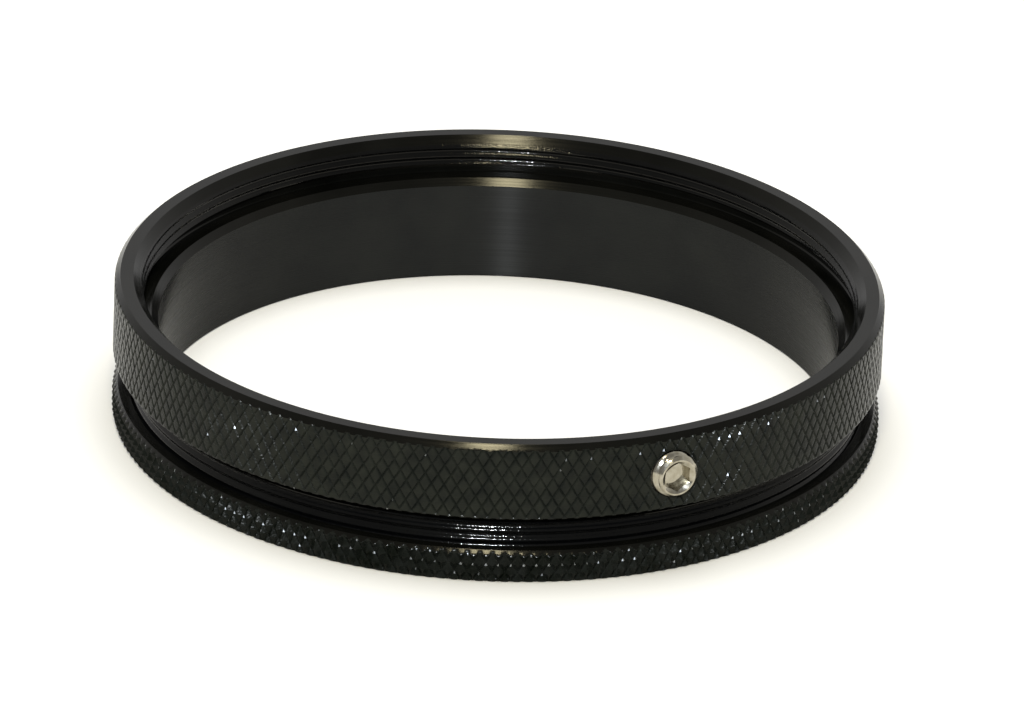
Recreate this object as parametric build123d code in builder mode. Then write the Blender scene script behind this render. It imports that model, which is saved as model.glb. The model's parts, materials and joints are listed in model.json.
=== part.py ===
"""Knurled adapter ring for 2-inch barrels: a threaded body, a lock ring, a lock screw and its soft tip.

Millimetres, +Z up. The origin is the centre of the underside, where the neck and the lock ring end flush.
"""

import os
from math import cos, radians, sin

from build123d import *

# Heights
height = 11.05  # whole ring
grip_bottom = 5.14  # underside of the wide grip band
ring_height = 2.47  # lock ring
shoulder_z = 8.07  # seat that a threaded part screws down to

# Radii
grip_radius = 28.84  # over the knurl tips of both bands
neck_radius = 27.5  # over the crests of the male thread, M55 x 0.75
bore_radius = 25.5  # smooth bore for a 50.8 mm barrel
thread_radius = 26.6  # crests of the female thread, M54 x 0.75
relief_radius = 27.25  # groove where the thread runs out above the shoulder

# Edges
grip_chamfer = 0.44  # on the bands' upper rims, 45 degrees
foot_chamfer = 0.28  # on the lock ring's lower rim
edge_break = 0.1  # the other outside edges
thread_lead = 0.82  # 45 degree lead-in at the mouth of the female thread
bore_chamfer = 0.5  # where the bore meets the shoulder
relief_height = 0.6  # straight part of the relief groove
relief_slope = 0.3  # height of its slope up to the thread
running_gap = 0.05  # radial clearance of the lock ring and of the lock screw

# Lock screw, No. 6-32 with a 5/64 inch hexagon
screw_angle = 297.15  # around +Z from +X
screw_z = 7.97
screw_radius = 1.75
screw_length = 2.75
screw_proud = 0.9  # how far its outer end stands out of the knurl
screw_chamfer = 0.3
socket_flats = 1.9844
socket_depth = 0.95
socket_mouth_radius = 1.28
socket_mouth_depth = 0.28

# Soft tip, held by a stem in the screw's inner end
tip_radius = 0.9
tip_thickness = 0.36
tip_gap = 0.03  # between the tip's flange and the screw's end
stem_radius = 0.55
stem_length = 0.6
stem_hole_depth = 0.7

outward = Vector(cos(radians(screw_angle)), sin(radians(screw_angle)), 0)
around = Vector(-outward.Y, outward.X, 0)
screw_head_radius = grip_radius + screw_proud


def screw_plane(radius):
    """The plane across the screw's axis at this distance from the ring's axis, facing outwards."""
    return Plane(origin=outward * radius + Vector(0, 0, screw_z), x_dir=around, z_dir=outward)


os.makedirs("parts", exist_ok=True)

# Adapter body: wide grip band, neck, bore, shoulder, relief groove and thread wall
with BuildPart() as adapter_body:
    with BuildSketch(Plane.XZ) as body_section:
        with BuildLine():
            Polyline(
                # inside, from the underside up
                (bore_radius + edge_break, 0),
                (bore_radius, edge_break),
                (bore_radius, shoulder_z - bore_chamfer),
                (bore_radius + bore_chamfer, shoulder_z),
                (relief_radius, shoulder_z),
                (relief_radius, shoulder_z + relief_height),
                (thread_radius, shoulder_z + relief_height + relief_slope),
                (thread_radius, height - thread_lead),
                (thread_radius + thread_lead, height),
                # outside, from the top down
                (grip_radius - grip_chamfer, height),
                (grip_radius, height - grip_chamfer),
                (grip_radius, grip_bottom + edge_break),
                (grip_radius - edge_break, grip_bottom),
                (neck_radius, grip_bottom),
                (neck_radius, edge_break),
                (neck_radius - edge_break, 0),
                close=True,
            )
        make_face()
    revolve(axis=Axis.Z)
    # hole for the lock screw, straight through the wall
    with BuildSketch(screw_plane(bore_radius - 1)):
        Circle(screw_radius + running_gap)
    extrude(amount=grip_radius - bore_radius + 2, mode=Mode.SUBTRACT)
adapter_body.part.label = "adapter_body"
export_step(adapter_body.part, "parts/adapter_body.step")

# Lock ring: narrow knurled ring on the neck, flush with the underside
with BuildPart() as lock_ring:
    Cylinder(grip_radius, ring_height, align=(Align.CENTER, Align.CENTER, Align.MIN))
    chamfer(lock_ring.edges().sort_by(Axis.Z)[-1], length=grip_chamfer)
    chamfer(lock_ring.edges().sort_by(Axis.Z)[0], length=foot_chamfer)
    Hole(neck_radius + running_gap)
    bore_rims = lock_ring.edges().filter_by(GeomType.CIRCLE).sort_by(SortBy.RADIUS)[:2]
    chamfer(bore_rims, length=edge_break)
lock_ring.part.label = "lock_ring"
export_step(lock_ring.part, "parts/lock_ring.step")

# Lock screw: headless, with a bevelled outer end, a hexagon socket and a hole for the tip's stem
with BuildPart() as lock_screw:
    with BuildSketch(screw_plane(screw_head_radius)):
        Circle(screw_radius)
    extrude(amount=-screw_length)
    chamfer(lock_screw.edges().filter_by(GeomType.CIRCLE), length=screw_chamfer)
    with BuildSketch(screw_plane(screw_head_radius)):
        RegularPolygon(socket_flats / 2, 6, major_radius=False)
    extrude(amount=-socket_depth, mode=Mode.SUBTRACT)
    with Locations(screw_plane(screw_head_radius - socket_mouth_depth)):
        Cone(
            socket_flats / 2,
            socket_mouth_radius,
            socket_mouth_depth,
            align=(Align.CENTER, Align.CENTER, Align.MIN),
            mode=Mode.SUBTRACT,
        )
    with BuildSketch(screw_plane(screw_head_radius - screw_length)):
        Circle(stem_radius + running_gap)
    extrude(amount=stem_hole_depth, mode=Mode.SUBTRACT)
lock_screw.part.label = "lock_screw"
export_step(lock_screw.part, "parts/lock_screw.step")

# Soft tip: a flange in front of the screw's inner end and a stem inside it
tip_back_radius = screw_head_radius - screw_length - tip_gap
with BuildPart() as screw_tip:
    with BuildSketch(screw_plane(tip_back_radius)):
        Circle(tip_radius)
    extrude(amount=-tip_thickness)
    chamfer(screw_tip.edges().filter_by(GeomType.CIRCLE), length=edge_break)
    with BuildSketch(screw_plane(tip_back_radius)):
        Circle(stem_radius)
    extrude(amount=stem_length)
screw_tip.part.label = "screw_tip"
export_step(screw_tip.part, "parts/screw_tip.step")
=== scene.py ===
"""The visual model of a knurled barrel adapter ring: helical threads, diamond knurls, anodised finishes.

Lengths are in millimetres until a mesh is made, which is in metres like the frame.
"""

import json
import math

import bmesh
import bpy
import numpy as np
from mathutils import Matrix, Vector


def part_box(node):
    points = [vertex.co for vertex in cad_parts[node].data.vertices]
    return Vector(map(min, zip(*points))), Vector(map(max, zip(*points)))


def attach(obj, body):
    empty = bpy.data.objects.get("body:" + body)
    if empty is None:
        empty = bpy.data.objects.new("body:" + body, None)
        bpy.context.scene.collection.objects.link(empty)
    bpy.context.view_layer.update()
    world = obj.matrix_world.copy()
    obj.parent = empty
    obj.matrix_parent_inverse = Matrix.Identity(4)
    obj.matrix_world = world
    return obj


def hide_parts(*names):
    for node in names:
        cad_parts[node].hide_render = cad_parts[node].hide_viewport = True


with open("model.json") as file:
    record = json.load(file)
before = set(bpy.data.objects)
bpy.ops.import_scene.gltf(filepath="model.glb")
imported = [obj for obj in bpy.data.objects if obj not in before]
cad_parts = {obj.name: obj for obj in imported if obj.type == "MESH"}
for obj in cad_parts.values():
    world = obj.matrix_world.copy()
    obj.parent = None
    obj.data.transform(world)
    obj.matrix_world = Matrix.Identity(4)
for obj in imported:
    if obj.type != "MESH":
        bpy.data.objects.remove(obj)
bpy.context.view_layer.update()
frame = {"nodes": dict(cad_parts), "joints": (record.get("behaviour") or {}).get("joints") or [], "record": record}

MM = 0.001
TURN = 2 * math.pi

# ---------------------------------------------------------------- sizes from the frame

mounts = {mount["name"]: mount for mount in frame["record"]["mounts"]}
joints = {joint["name"]: joint for joint in frame["joints"]}
screw_coupling = frame["record"]["behaviour"]["couplings"][0]

grip_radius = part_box("adapter_body")[1].x / MM
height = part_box("adapter_body")[1].z / MM
ring_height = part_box("lock_ring")[1].z / MM
bore_radius = mounts["barrel_bore"]["dims"]["r_mm"]
crest_radius = mounts["female_thread"]["dims"]["r_mm"]
screw_pitch = TURN / screw_coupling["ratio"] / MM
outward = Vector(joints["screw_turn"]["axis"]).normalized()
screw_foot = Vector(joints["screw_turn"]["pos_m"])
screw_foot = screw_foot - outward * screw_foot.dot(outward)


def reach(node):
    """The nearest and farthest that a CAD node comes along the lock screw's axis."""
    along = [vertex.co.dot(outward) / MM for vertex in frame["nodes"][node].data.vertices]
    return min(along), max(along)


screw_inner, screw_outer = reach("lock_screw")
tip_inner, tip_outer = reach("screw_tip")

# ---------------------------------------------------------------- sizes of the walls, the screw and its tip

grip_bottom = 5.14  # underside of the wide band
shoulder = 8.07  # seat that a threaded part screws down to
relief_radius = 27.25  # groove where the female thread runs out
relief_top = shoulder + 0.6
rim_chamfer = 0.44
foot_chamfer = 0.28
edge_break = 0.1
bore_chamfer = 0.5
thread_lead = 0.82  # lead-in at the mouth of the female thread
neck_radius = 27.5
neck_thread_top = 4.45
neck_corner = 0.12  # bevel where the neck meets the wide band
ring_bore_radius = 27.55
screw_radius = 1.745
screw_lead = 0.5  # chamfer at the screw's inner end
screw_bevel = 0.34  # bevel at its outer end
screw_bevel_length = 0.36
socket_flats = 1.9844
socket_depth = 0.95
socket_mouth_radius = 1.28
socket_mouth_slope = 0.7  # height over radius
socket_drill_radius = 0.62
socket_drill_depth = 0.3  # below the hexagon's floor
stem_hole_radius = 0.6
stem_hole_depth = 0.7
stem_radius = 0.55
stem_break = 0.06
tip_radius = 0.9
tip_thickness = 0.36
tip_face_break = 0.1
tip_back_break = 0.05

# ---------------------------------------------------------------- knurl and threads

knurl_pitches = 193  # diamonds round a band
knurl_length = 1.551  # one diamond, along the axis
knurl_cells = 4  # mesh cells from a groove crossing to a diamond's centre, each way
knurl_near = (0, 0.25, 0.5, 0.75, 1)  # from a groove to a diamond's centre
band_depth = 0.12
band_share = (1, 0.15, 0.05, 0.02, 0)  # share of the depth at each of those: wide flat diamonds
band_glints = 0.12  # share of the top row's diamonds given a painted glint of bright metal on a corner
ring_depth = 0.38
ring_share = (1, 0.8, 0.5, 0.2, 0)  # pointed diamonds
# share of the lock ring's top-row diamonds given a painted glint
ring_glints = 0.55
glints_below = 0.15  # the other rows' share of that
glint_reach = 0.2  # how far a painted glint reaches from a diamond's top corner, in pitches
uneven_depth = 0.02  # how much the diamonds differ in height
uneven_rows = 16  # rows of diamonds before their random numbers repeat

columns = knurl_pitches * 2
fine_columns = columns * knurl_cells
screw_columns = 48
chamfer_rows = 5  # mesh rows in a band's rim chamfer
foot_rows = 3  # and in its foot chamfer
fine_mesh_radius = grip_radius - 0.7  # under a band, where the knurl's finer mesh begins
rim_strip = 0.1  # on top of a band, how far in the finer mesh goes

fine_pitch = 0.75
thread_rows = 10  # mesh rows in one pitch
neck_depth = 0.22
neck_root = neck_radius - neck_depth
neck_lead = 0.05  # how far the thread's start lies below its root
female_root = crest_radius + 0.24
relief_slope = 2.2  # radius over height, from the relief groove to the thread
screw_depth = 0.34

hole_gap = 0.055  # between the lock screw's thread and its tapped hole
hole_mouth = 0.08  # bevel at the hole's outer end
hole_widest = 0.6  # past the thread's crests
hole_margin = 1.5  # how far the hole's tool sticks out of the wall

hard_edge = math.radians(28)
weld_distance = 1e-8  # metres

# ---------------------------------------------------------------- finishes

# The last finish is bright metal at the diamonds' top corners: painted glints.
KNURLED, TURNED, BORED, THREADED, PAINTED_GLINT = range(5)


def angles(count):
    """Evenly spaced angles round a ring."""
    return np.arange(count) * TURN / count


def spread(low, high, steps):
    """Evenly spaced values, both ends included."""
    return [low + (high - low) * step / steps for step in range(steps + 1)]


class Skin:
    """A mesh in the making: rings of points round the Z axis, joined by faces.

    Rings follow the section with the air on their right: outer walls upwards, inner walls downwards.
    """

    def __init__(self):
        self.points = []
        self.faces = []
        self.finishes = []

    def face(self, corners, finish):
        self.faces.append(corners)
        self.finishes.append(finish)

    def ring(self, radius, z, count=columns):
        """A closed ring. The radius and the height are numbers, or one value for each point."""
        angle = angles(count)
        radius = np.broadcast_to(radius, count)
        z = np.broadcast_to(z, count)
        first = len(self.points)
        self.points.extend(zip(radius * np.cos(angle), radius * np.sin(angle), z))
        return list(range(first, first + count))

    def join(self, first, second, finish=TURNED):
        """Faces between two rings, which fan out if one has several times the other's points."""
        if len(first) < len(second):
            self.fan(second, first, finish, flip=True)
        elif len(first) > len(second):
            self.fan(first, second, finish)
        else:
            for a, b, c, d in zip(first, first[1:] + first[:1], second[1:] + second[:1], second):
                self.face((a, b, c, d), finish)

    def fan(self, fine, coarse, finish, flip=False):
        """Faces between a ring and one that has a fraction of its points."""
        step = len(fine) // len(coarse)
        half = step // 2
        for index, near in enumerate(coarse):
            after = coarse[(index + 1) % len(coarse)]
            edge = [fine[(index * step + m) % len(fine)] for m in range(step + 1)]
            corners = [(edge[m], edge[m + 1], near if m < half else after) for m in range(step)]
            corners.append((edge[half], after, near))
            for triangle in corners:
                self.face(triangle[::-1] if flip else triangle, finish)

    def wall(self, section, finish=TURNED, start=None, count=columns):
        """Plain rings through a list of (radius, z), joined to the ring before them if there is one."""
        for radius, z in section:
            ring = self.ring(radius, z, count)
            if start:
                self.join(start, ring, finish)
            start = ring
        return start

    def point(self, z):
        """A point on the axis."""
        self.points.append((0, 0, z))
        return len(self.points) - 1

    def open_from(self, z, ring, finish=TURNED):
        """A disc that grows from the axis to a ring."""
        centre = self.point(z)
        for a, b in zip(ring, ring[1:] + ring[:1]):
            self.face((centre, b, a), finish)

    def close_to(self, ring, z, finish=TURNED):
        """A disc that shrinks from a ring to the axis."""
        centre = self.point(z)
        for a, b in zip(ring, ring[1:] + ring[:1]):
            self.face((a, b, centre), finish)

    def knurl(self, grooves, heights, limit, start):
        """A knurled wall upwards from a plain ring, cut down to limit(z). It returns the top ring."""
        angle = angles(fine_columns)
        rings = [
            self.ring(np.minimum(grooves.radius(angle, z), limit(z)), z, fine_columns) for z in heights
        ]
        self.join(start, rings[0])
        for low, high, lower, upper in zip(heights, heights[1:], rings, rings[1:]):
            self.knurled_row(grooves, limit, (low + high) / 2, lower, upper)
        return rings[-1]

    def knurled_row(self, grooves, limit, z, lower, upper):
        """The faces between two rings, cut along the grooves. The height is halfway between the rings."""
        angle = angles(fine_columns) + TURN / fine_columns / 2
        one, other = grooves.distances(angle, z)
        rising = one > other
        cut_away = grooves.radius(angle, z) > limit(z)
        finish = np.where(cut_away, TURNED, KNURLED)
        # Cells at the diamonds' top corners may take bright metal: painted glints.
        tips = np.where(grooves.painted_glint_cells(angle, z) & ~cut_away, PAINTED_GLINT, finish)
        sides = zip(lower, lower[1:] + lower[:1], upper[1:] + upper[:1], upper)
        for (a, b, c, d), up, made, tip in zip(sides, rising, finish, tips):
            self.face((a, b, c) if up else (a, b, d), tip)
            self.face((a, c, d) if up else (b, c, d), made)

    def helix(self, low, high, pitch, radius_at, count, finish=THREADED, inside=False):
        """Rings that climb one pitch a turn, held between two heights. It returns the two end rings."""
        turns = math.ceil((high - low) / pitch) + 1
        angle = angles(count)
        rings = []
        for turn in range(-1, turns + 1):
            for step in range(thread_rows):
                z = np.clip(low + pitch * (turn + step / thread_rows + angle / TURN), low, high)
                rings.append(self.ring(radius_at(angle, z), z, count))
        for level in range(len(rings) - 1):
            lower, upper = rings[level], rings[level + 1]
            corners = list(zip(lower, lower[1:], upper[1:], upper))
            turn_later = level + thread_rows
            if turn_later + 1 < len(rings):
                corners.append((lower[-1], rings[turn_later][0], rings[turn_later + 1][0], upper[-1]))
            for quad in corners:
                self.face(quad[::-1] if inside else quad, finish)
        return rings[0], rings[-1]

    def build(self, name, materials, place=None):
        """The finished object, in metres. The finishes pick from the materials if there are several."""
        mesh = bpy.data.meshes.new(name)
        scaled = [(x * MM, y * MM, z * MM) for x, y, z in self.points]
        mesh.from_pydata(scaled, [], self.faces)
        if len(materials) > 1:
            mesh.polygons.foreach_set("material_index", self.finishes)
        if place is not None:
            mesh.transform(place)
        for material in materials:
            mesh.materials.append(material)
        clean = bmesh.new()
        clean.from_mesh(mesh)
        bmesh.ops.remove_doubles(clean, verts=clean.verts, dist=weld_distance)
        clean.to_mesh(mesh)
        clean.free()
        shade(mesh)
        piece = bpy.data.objects.new(name, mesh)
        bpy.context.scene.collection.objects.link(piece)
        return piece


def shade(mesh):
    """Smooth faces with hard edges where they meet sharply."""
    mesh.shade_smooth()
    mesh.set_sharp_from_angle(angle=hard_edge)


class Grooves:
    """Two crossing sets of V grooves in a band, which leave diamonds between them."""

    def __init__(self, low, high, depth, share, glint_share, seed):
        rows = round((high - low) / knurl_length * 2 * knurl_cells)
        self.heights = spread(low, high, rows)
        self.length = (high - low) / rows * 2 * knurl_cells
        self.crossing = high + self.length / 2 / knurl_cells
        self.depth = depth
        self.share = share
        self.glint_share = glint_share
        self.uneven = np.random.RandomState(seed).rand(knurl_pitches, uneven_rows)

    def lattice(self, angle, z):
        """Where a point lies across the grooves of each hand, in pitches."""
        across = angle / TURN * knurl_pitches
        along = (z - self.crossing) / self.length
        return across + along, across - along

    def distances(self, angle, z):
        """How far a point is from the nearest groove of each hand, in pitches."""
        one, other = self.lattice(angle, z)
        return np.abs(one - np.round(one)), np.abs(other - np.round(other))

    def chance(self, angle, z):
        """A random number from 0 to 1 for each diamond."""
        rounding = 1e-6
        one, other = self.lattice(angle, z)
        row = np.floor(one + rounding).astype(int)
        column = np.floor(other + rounding).astype(int)
        return self.uneven[row % knurl_pitches, (row - column) % uneven_rows]

    def radius(self, angle, z):
        """The knurl's surface, where the tool's pressure wanders round the band."""
        one, other = self.distances(angle, z)
        near = 2 * np.minimum(one, other)
        pressure = 0.9 + 0.07 * np.sin(3 * angle + z) + 0.05 * np.sin(11 * angle - 2 * z)
        depth = self.depth * pressure * np.interp(near, knurl_near, self.share)
        return grip_radius - depth - uneven_depth * self.chance(angle, z) * np.minimum(1, 2 * near)

    def painted_glint_cells(self, angle, z):
        """Which mesh cells get a painted glint, by chance, of those at the diamonds' top corners."""
        slack = 0.03
        one, other = self.lattice(angle, z)
        at_corner = ((slack - one) % 1 < glint_reach) & ((other + slack) % 1 < glint_reach)
        below_top_row = abs(z - self.crossing + self.length / 2) > 0.3 * self.length
        # Painted glints are rarer below the top row.
        glint_share = self.glint_share * (glints_below if below_top_row else 1)
        # A cell follows the diamond that lies a little further round, so that one on a groove isn't
        # left to rounding.
        ahead = 0.05 * TURN / knurl_pitches + angle
        return at_corner & (self.chance(ahead, z) < glint_share)


def thread_cut(angle, z, pitch):
    """The share of a right-hand thread's depth at a point."""
    return 0.5 - 0.5 * np.cos(TURN * (z / pitch - angle / TURN))


def female_radius(angle, z):
    """The internal thread, opened out by its lead-in at the top and by the relief slope below."""
    thread = female_root - (female_root - crest_radius) * thread_cut(angle, z, fine_pitch)
    lead = crest_radius + thread_lead - (height - z)
    relief = relief_radius - relief_slope * (z - relief_top)
    return np.maximum(thread, np.maximum(lead, relief))


def neck_thread_radius(angle, z):
    """The neck's external thread, with a chamfered start and a run-out into its relief."""
    thread = neck_radius - neck_depth * thread_cut(angle, z, fine_pitch)
    return np.minimum(thread, np.minimum(neck_root - neck_lead + z, neck_root + neck_thread_top - z))


def screw_thread_radius(angle, z):
    """The lock screw's thread, chamfered at its inner end and bevelled at its outer end."""
    thread = screw_radius - screw_depth * thread_cut(angle, z, screw_pitch)
    inner = screw_radius - screw_lead + (z - screw_inner)
    bevel = screw_radius - screw_bevel * (1 - (screw_outer - z) / screw_bevel_length)
    return np.minimum(thread, np.minimum(inner, bevel))


# ---------------------------------------------------------------- materials


class NodeMaterial:
    """A procedural material round one Principled shader."""

    def __init__(self, name):
        self.material = bpy.data.materials.new(name)
        self.material.use_nodes = True
        self.nodes = self.material.node_tree.nodes
        self.links = self.material.node_tree.links
        self.shader = self.nodes["Principled BSDF"]

    def constant(self, socket, value):
        """Sets one of the shader's own sockets."""
        self.shader.inputs[socket].default_value = value

    def textured(self, socket, output):
        """Feeds one of the shader's sockets from another node."""
        self.links.new(output, self.shader.inputs[socket])

    def position(self):
        """The place on the object, in metres."""
        return self.nodes.new("ShaderNodeTexCoord").outputs["Object"]

    def turned_position(self, place):
        """The distance from the bore's axis and the height, as a vector that is the same all round."""
        parts = self.nodes.new("ShaderNodeSeparateXYZ")
        self.links.new(place, parts.inputs[0])
        flat = self.nodes.new("ShaderNodeCombineXYZ")
        self.links.new(parts.outputs["X"], flat.inputs["X"])
        self.links.new(parts.outputs["Y"], flat.inputs["Y"])
        radius = self.nodes.new("ShaderNodeVectorMath")
        radius.operation = "LENGTH"
        self.links.new(flat.outputs[0], radius.inputs[0])
        around = self.nodes.new("ShaderNodeCombineXYZ")
        self.links.new(radius.outputs["Value"], around.inputs["X"])
        self.links.new(parts.outputs["Z"], around.inputs["Y"])
        return around.outputs[0]

    def noise(self, place, scale, detail):
        texture = self.nodes.new("ShaderNodeTexNoise")
        texture.inputs["Scale"].default_value = scale
        texture.inputs["Detail"].default_value = detail
        self.links.new(place, texture.inputs["Vector"])
        return texture.outputs["Fac"]

    def ranged(self, value, low, high):
        """A noise value stretched to run from low to high."""
        node = self.nodes.new("ShaderNodeMapRange")
        node.inputs["From Min"].default_value = 0.3
        node.inputs["From Max"].default_value = 0.7
        node.inputs["To Min"].default_value = low
        node.inputs["To Max"].default_value = high
        self.links.new(value, node.inputs["Value"])
        return node.outputs["Result"]

    def mixed(self, value, dark, light):
        """A colour that a noise value picks between two."""
        colour = self.nodes.new("ShaderNodeMix")
        colour.data_type = "RGBA"
        colour.inputs["A"].default_value = (*dark, 1)
        colour.inputs["B"].default_value = (*light, 1)
        self.links.new(self.ranged(value, 0, 1), colour.inputs["Factor"])
        return colour.outputs["Result"]

    def bump(self, height, strength, distance):
        """A bump node. The distance is in millimetres."""
        node = self.nodes.new("ShaderNodeBump")
        node.inputs["Strength"].default_value = strength
        node.inputs["Distance"].default_value = distance * MM
        self.links.new(height, node.inputs["Height"])
        return node

    def brush_round(self, amount):
        """Gloss drawn out by turning marks that run round the Z axis."""
        self.constant("Anisotropic", amount)
        self.constant("Anisotropic Rotation", 0.25)
        tangent = self.nodes.new("ShaderNodeTangent")
        tangent.direction_type = "RADIAL"
        tangent.axis = "Z"
        self.textured("Tangent", tangent.outputs["Tangent"])


def anodised(name, *, dark, light, roughness, lines, ior, anisotropic=0, burrs=0, cloud=160):
    """Black anodised aluminium with turning lines or burrs, cloudy dye and uneven gloss."""
    made = NodeMaterial(name)
    place = made.position()
    dye = made.noise(place, scale=cloud, detail=4)
    turning = made.noise(made.turned_position(place), scale=9000, detail=3)
    made.textured("Base Color", made.mixed(dye, dark, light))
    made.textured("Roughness", made.ranged(turning, *roughness))
    marks = made.bump(turning, strength=lines, distance=0.02)
    made.textured("Normal", marks.outputs["Normal"])
    if burrs:
        grain = made.noise(place, scale=7000, detail=1)
        rough = made.bump(grain, strength=burrs, distance=0.05)
        made.links.new(rough.outputs["Normal"], marks.inputs["Normal"])
    if anisotropic:
        made.brush_round(anisotropic)
    made.constant("IOR", ior)
    made.constant("Specular Tint", (1, 0.95, 0.82, 1))
    return made.material


def glint_metal(name):
    """Bright bare-looking aluminium put on the diamonds' top corners as painted glints."""
    made = NodeMaterial(name)
    made.constant("Base Color", (0.4, 0.41, 0.4, 1))
    made.constant("Metallic", 1)
    scuffs = made.noise(made.position(), scale=3000, detail=2)
    made.textured("Roughness", made.ranged(scuffs, 0.2, 0.5))
    return made.material


def steel(name):
    """Bright turned stainless steel."""
    made = NodeMaterial(name)
    grain = made.noise(made.position(), scale=2500, detail=3)
    made.textured("Base Color", made.mixed(grain, (0.3, 0.27, 0.2), (0.45, 0.42, 0.34)))
    made.textured("Roughness", made.ranged(grain, 0.1, 0.22))
    made.constant("Metallic", 1)
    return made.material


def nylon(name):
    """Matte natural nylon, faintly mottled."""
    made = NodeMaterial(name)
    mottle = made.noise(made.position(), scale=1800, detail=3)
    made.textured("Base Color", made.mixed(mottle, (0.74, 0.7, 0.6), (0.86, 0.83, 0.75)))
    made.textured("Roughness", made.ranged(mottle, 0.45, 0.6))
    return made.material


def paper(name):
    """The pale floor."""
    made = NodeMaterial(name)
    made.constant("Base Color", (0.86, 0.86, 0.85, 1))
    made.constant("Roughness", 0.9)
    return made.material


# One material for each of the finishes, in their order.
black = [
    anodised(
        "anodised_knurl",
        dark=(0.004, 0.0045, 0.0035),
        light=(0.009, 0.0095, 0.0065),
        roughness=(0.16, 0.3),
        lines=0.1,
        ior=1.18,
        burrs=0.5,
        cloud=900,
    ),
    anodised(
        "anodised_turned",
        dark=(0.001, 0.001, 0.0007),
        light=(0.003, 0.0028, 0.002),
        roughness=(0.12, 0.2),
        lines=0.15,
        ior=1.22,
    ),
    anodised(
        "anodised_bore",
        dark=(0.006, 0.006, 0.0055),
        light=(0.009, 0.009, 0.0075),
        roughness=(0.25, 0.3),
        lines=0.12,
        ior=1.18,
        anisotropic=1,
    ),
    anodised(
        "anodised_thread",
        dark=(0.001, 0.001, 0.001),
        light=(0.002, 0.002, 0.0018),
        roughness=(0.05, 0.12),
        lines=0.1,
        ior=1.25,
        burrs=0.3,
    ),
    # bright metal for the painted glints on the diamonds' corners
    glint_metal("painted_glint_aluminium"),
]
# The lock ring's knurl takes a darker, less glossy copy of the knurl finish: painted shade for the ring's darker
# look beside the floor.
ring_shaded_black = [
    anodised(
        "anodised_ring_painted_shade",
        dark=(0.002, 0.0025, 0.0015),
        light=(0.006, 0.0065, 0.005),
        roughness=(0.18, 0.3),
        lines=0.1,
        ior=1.17,
        burrs=0.5,
        cloud=900,
    ),
    *black[1:],
]

# ---------------------------------------------------------------- adapter body


def screw_place():
    """What puts a mesh made round +Z on the lock screw's axis, its Z pointing outwards."""
    around = Vector((0, 0, 1)).cross(outward)
    rotation = Matrix((around, outward.cross(around), outward)).transposed()
    return Matrix.Translation(screw_foot) @ rotation.to_4x4()


def turned_edges(z, low, low_chamfer, high):
    """The radius that the chamfers at a band's lower and upper edges leave."""
    upper = grip_radius - max(0, z - (high - rim_chamfer))
    return upper - max(0, low_chamfer - (z - low))


def screw_hole():
    """What the tapped hole takes out of the band, in the same phase as the lock screw's thread."""

    def tapped(angle, z):
        thread = screw_radius + hole_gap - screw_depth * thread_cut(angle, z, screw_pitch)
        mouth = screw_radius + hole_gap + hole_mouth - (grip_radius - z)
        return np.maximum(thread, np.minimum(mouth, screw_radius + hole_widest))

    skin = Skin()
    low = bore_radius - hole_margin
    high = grip_radius + hole_margin
    bottom, top = skin.helix(low, high, screw_pitch, tapped, screw_columns)
    skin.open_from(low, bottom)
    skin.close_to(top, high)
    return skin.build("screw_hole", black, screw_place())


def cut(piece, tool):
    """Takes the tool out of the piece and drops the tool."""
    boolean = piece.modifiers.new("hole", "BOOLEAN")
    boolean.operation = "DIFFERENCE"
    boolean.solver = "MANIFOLD"
    boolean.object = tool
    graph = bpy.context.evaluated_depsgraph_get()
    mesh = bpy.data.meshes.new_from_object(piece.evaluated_get(graph))
    piece.modifiers.clear()
    piece.data = mesh
    shade(mesh)
    bpy.data.objects.remove(tool)


def adapter_body():
    """The wide knurled band, its neck, the bore and the female thread."""

    def limit(z):
        return turned_edges(z, grip_bottom, edge_break, height)

    skin = Skin()
    foot, neck_top = skin.helix(0, neck_thread_top, fine_pitch, neck_thread_radius, columns)
    under = skin.wall(
        [
            (neck_root, grip_bottom - neck_corner),
            (neck_root + neck_corner, grip_bottom),
            (fine_mesh_radius, grip_bottom),
        ],
        start=neck_top,
    )
    grooves = Grooves(grip_bottom, height - rim_chamfer, band_depth, band_share, band_glints, seed=11)
    heights = grooves.heights[:1] + [grip_bottom + edge_break] + grooves.heights[1:]
    heights += spread(height - rim_chamfer, height, chamfer_rows)[1:]
    rim = skin.knurl(grooves, heights, limit, under)
    mouth = crest_radius + thread_lead
    rim = skin.wall([(grip_radius - rim_chamfer - rim_strip, height), (mouth, height)], start=rim)
    thread_top = height - (mouth - female_root) + 0.01  # just above where the lead-in meets the root
    thread_low, thread_high = skin.helix(
        relief_top, thread_top, fine_pitch, female_radius, columns, inside=True
    )
    skin.join(rim, thread_high)
    seat = skin.wall(
        [
            (relief_radius, shoulder + edge_break),
            (relief_radius - edge_break, shoulder),
            (bore_radius + bore_chamfer, shoulder),
            (bore_radius, shoulder - bore_chamfer),
        ],
        start=thread_low,
    )
    bore = skin.wall([(bore_radius, edge_break)], BORED, start=seat)
    last = skin.wall([(bore_radius + edge_break, 0)], start=bore)
    skin.join(last, foot)
    piece = skin.build("body_turned", black)
    cut(piece, screw_hole())
    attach(piece, "adapter")
    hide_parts("adapter_body")
    return piece


# ---------------------------------------------------------------- lock ring, lock screw and its tip


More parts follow.
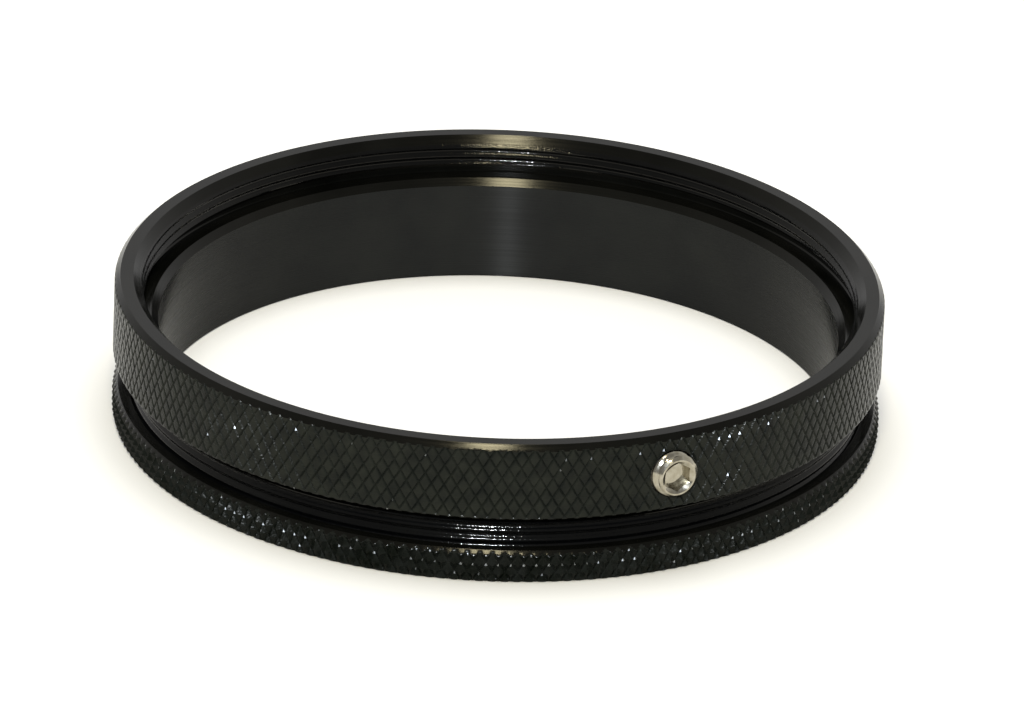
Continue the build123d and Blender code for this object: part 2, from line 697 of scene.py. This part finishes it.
def lock_ring():
    """The narrow knurled ring on the neck."""

    def limit(z):
        return turned_edges(z, 0, foot_chamfer, ring_height)

    skin = Skin()
    first = skin.ring(ring_bore_radius + edge_break, 0)
    foot = skin.wall([(fine_mesh_radius, 0)], start=first)
    grooves = Grooves(foot_chamfer, ring_height - rim_chamfer, ring_depth, ring_share, ring_glints, seed=12)
    heights = spread(0, foot_chamfer, foot_rows)[:-1] + grooves.heights
    heights += spread(ring_height - rim_chamfer, ring_height, chamfer_rows)[1:]
    rim = skin.knurl(grooves, heights, limit, foot)
    last = skin.wall(
        [
            (grip_radius - rim_chamfer - rim_strip, ring_height),
            (ring_bore_radius + edge_break, ring_height),
            (ring_bore_radius, ring_height - edge_break),
            (ring_bore_radius, edge_break),
        ],
        start=rim,
    )
    skin.join(last, first)
    piece = skin.build("lock_ring_knurled", ring_shaded_black)
    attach(piece, "lock_ring")
    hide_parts("lock_ring")
    return piece


def lock_screw():
    """The set screw, with a hole for its tip's stem at one end and its hexagon socket at the other."""
    skin = Skin()
    hole_top = screw_inner + stem_hole_depth
    hole_end = skin.ring(stem_hole_radius, hole_top, screw_columns)
    hole = skin.wall([(stem_hole_radius, screw_inner)], start=hole_end, count=screw_columns)
    skin.open_from(hole_top, hole_end)
    low, high = skin.helix(
        screw_inner, screw_outer, screw_pitch, screw_thread_radius, screw_columns, TURNED
    )
    skin.join(hole, low)
    mouth = skin.wall([(socket_mouth_radius, screw_outer)], start=high, count=screw_columns)
    flat = (angles(screw_columns) + TURN / 12) % (TURN / 6) - TURN / 12
    hexagon = socket_flats / 2 / np.cos(flat)
    edge_z = screw_outer - socket_mouth_slope * (socket_mouth_radius - hexagon)
    edge = skin.ring(hexagon, edge_z, screw_columns)
    floor = skin.ring(hexagon, screw_outer - socket_depth, screw_columns)
    drilled = skin.ring(socket_drill_radius, screw_outer - socket_depth, screw_columns)
    skin.join(mouth, edge)
    skin.join(edge, floor)
    skin.join(floor, drilled)
    skin.close_to(drilled, screw_outer - socket_depth - socket_drill_depth)
    piece = skin.build("lock_screw_threaded", [steel("stainless")], screw_place())
    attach(piece, "lock_screw")
    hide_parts("lock_screw")
    return piece


def screw_tip():
    """The soft pad that presses on a barrel, and its stem in the screw."""
    skin = Skin()
    face = skin.ring(tip_radius - tip_face_break, tip_inner, screw_columns)
    skin.open_from(tip_inner, face)
    back = tip_inner + tip_thickness
    stem = skin.wall(
        [
            (tip_radius, tip_inner + tip_face_break),
            (tip_radius, back - tip_back_break),
            (tip_radius - tip_back_break, back),
            (stem_radius, back),
            (stem_radius, tip_outer - stem_break),
            (stem_radius - stem_break, tip_outer),
        ],
        start=face,
        count=screw_columns,
    )
    skin.close_to(stem, tip_outer)
    piece = skin.build("screw_tip_pad", [nylon("nylon")], screw_place())
    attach(piece, "screw_tip")
    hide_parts("screw_tip")
    return piece


pieces = [adapter_body(), lock_ring(), lock_screw(), screw_tip()]

# ---------------------------------------------------------------- floor, light and camera


def direction(azimuth, elevation):
    """From the object towards a place: azimuth 0 is the front, 90 the right."""
    a, e = math.radians(azimuth), math.radians(elevation)
    return Vector((math.sin(a) * math.cos(e), -math.cos(a) * math.cos(e), math.sin(e)))


def studio_floor():
    mesh = bpy.data.meshes.new("floor")
    half = 3.0
    corners = [(-half, -half, 0), (half, -half, 0), (half, half, 0), (-half, half, 0)]
    mesh.from_pydata(corners, [], [(0, 1, 2, 3)])
    mesh.materials.append(paper("floor_paper"))
    floor = bpy.data.objects.new("floor", mesh)
    bpy.context.scene.collection.objects.link(floor)
    return floor


def soft_light(name, *, azimuth, elevation, distance, size, power, colour=(1, 1, 1)):
    """A round area light that points at the origin."""
    light = bpy.data.lights.new(name, "AREA")
    light.shape = "DISK"
    light.size = size
    light.energy = power
    light.color = colour
    lamp = bpy.data.objects.new(name, light)
    towards = direction(azimuth, elevation)
    lamp.location = towards * distance
    lamp.rotation_euler = towards.to_track_quat("Z", "Y").to_euler()
    bpy.context.scene.collection.objects.link(lamp)
    return lamp


def light_only(lamp, lit):
    """The light reaches nothing but these."""
    receivers = bpy.data.collections.new(lamp.name + "_receivers")
    for piece in lit:
        receivers.objects.link(piece)
    lamp.light_linking.receiver_collection = receivers


def sky(front, back):
    """A plain surround, dimmer towards the viewer than behind the object."""
    world = bpy.data.worlds.new("studio")
    world.use_nodes = True
    nodes, links = world.node_tree.nodes, world.node_tree.links
    place = nodes.new("ShaderNodeTexCoord")
    parts = nodes.new("ShaderNodeSeparateXYZ")
    links.new(place.outputs["Generated"], parts.inputs[0])
    ramp = nodes.new("ShaderNodeMapRange")
    ramp.interpolation_type = "SMOOTHSTEP"
    ramp.inputs["From Min"].default_value = -0.5
    ramp.inputs["From Max"].default_value = 0.6
    ramp.inputs["To Min"].default_value = front
    ramp.inputs["To Max"].default_value = back
    links.new(parts.outputs["Y"], ramp.inputs["Value"])
    background = nodes["Background"]
    background.inputs["Color"].default_value = (1, 1, 1, 1)
    links.new(ramp.outputs["Result"], background.inputs["Strength"])
    bpy.context.scene.world = world


def view_camera():
    """A long lens from the front, 25 degrees up, rolled a little."""
    elevation = 25.03
    roll = 2.28
    distance = 0.93
    aim_right = 1.1 * MM
    aim_up = 4.8 * MM
    camera = bpy.data.cameras.new("camera")
    camera.lens = 434.9
    camera.sensor_width = 36
    camera.clip_start = 0.05
    camera.clip_end = 20
    holder = bpy.data.objects.new("camera", camera)
    holder.location = direction(0, elevation) * distance
    up = Vector((0, math.sin(math.radians(elevation)), math.cos(math.radians(elevation))))
    aim = Vector((aim_right, 0, 0)) + up * aim_up
    look = (aim - holder.location).to_track_quat("-Z", "Y")
    holder.rotation_euler = (look.to_matrix() @ Matrix.Rotation(math.radians(roll), 3, "Z")).to_euler()
    bpy.context.scene.collection.objects.link(holder)
    bpy.context.scene.camera = holder


floor = studio_floor()
soft_light(
    "key", azimuth=-2.5, elevation=65, distance=2, size=0.3, power=14, colour=(1, 0.93, 0.68)
)
window = soft_light(
    "window", azimuth=-2, elevation=32, distance=2, size=0.07, power=78, colour=(0.76, 0.84, 1)
)
wash = soft_light("wash", azimuth=0, elevation=90, distance=2.5, size=2, power=46)
light_only(window, pieces)
light_only(wash, [floor])
sky(front=0.3, back=0.85)
view_camera()
bpy.context.scene.view_settings.view_transform = "Standard"
